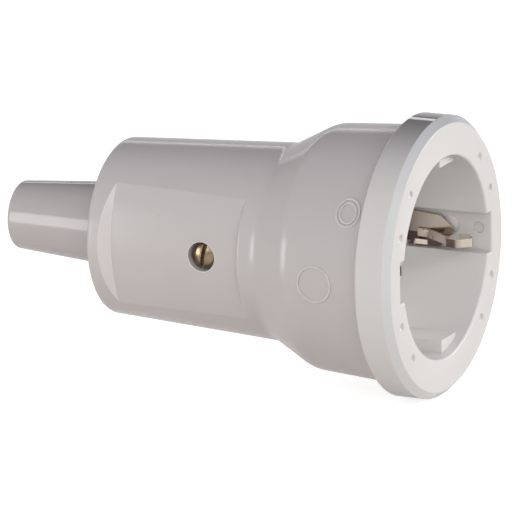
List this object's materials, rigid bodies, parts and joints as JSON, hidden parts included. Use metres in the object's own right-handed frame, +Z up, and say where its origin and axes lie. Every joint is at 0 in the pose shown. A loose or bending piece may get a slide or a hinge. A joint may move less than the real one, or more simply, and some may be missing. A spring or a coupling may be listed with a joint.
{
  "type": "cable coupler",
  "caption": "In-line mains socket for a cable end: grey housing with tapered neck and boot, white face with a round earthed plug cavity, fixed by a side screw.",
  "frame": {"origin": "centre of the mating face, on the socket axis", "axes": "+X out of the socket along its axis, +Z up along the line of the pin holes, side screw on -Y, earth clips on +Y and -Y"},
  "size_m": [0.0912, 0.0548, 0.0548],
  "materials": {
    "grey_plastic": "glossy moulded thermoplastic, warm light grey",
    "grey_soft_plastic": "soft satin plastic, warm light grey",
    "white_plastic": "satin moulded thermoplastic, off-white",
    "carrier_plastic": "matt moulded thermoset, grey",
    "brass": "turned brass, bright",
    "nickel": "nickel-plated strip, satin",
    "zinc_steel": "zinc-plated steel screws",
    "spring_steel": "blank spring steel"
  },
  "bodies": {
    "root": {"housing": "grey_plastic", "cable_boot": "grey_soft_plastic", "socket_insert": "white_plastic", "earth_bracket": "nickel", "earth_spring_right": "nickel", "earth_spring_left": "nickel", "earth_rivets": "nickel", "contact_carrier": "carrier_plastic", "live_contact": "brass", "neutral_contact": "brass", "live_ring_spring": "spring_steel", "neutral_ring_spring": "spring_steel", "line_terminal_screws": "zinc_steel", "earth_terminal": "brass", "earth_terminal_screw": "zinc_steel", "carrier_screws": "zinc_steel", "cable_clamp": "carrier_plastic", "clamp_screws": "zinc_steel", "threaded_bush": "brass", "housing_screw": "brass"}
  },
  "joints": []
}
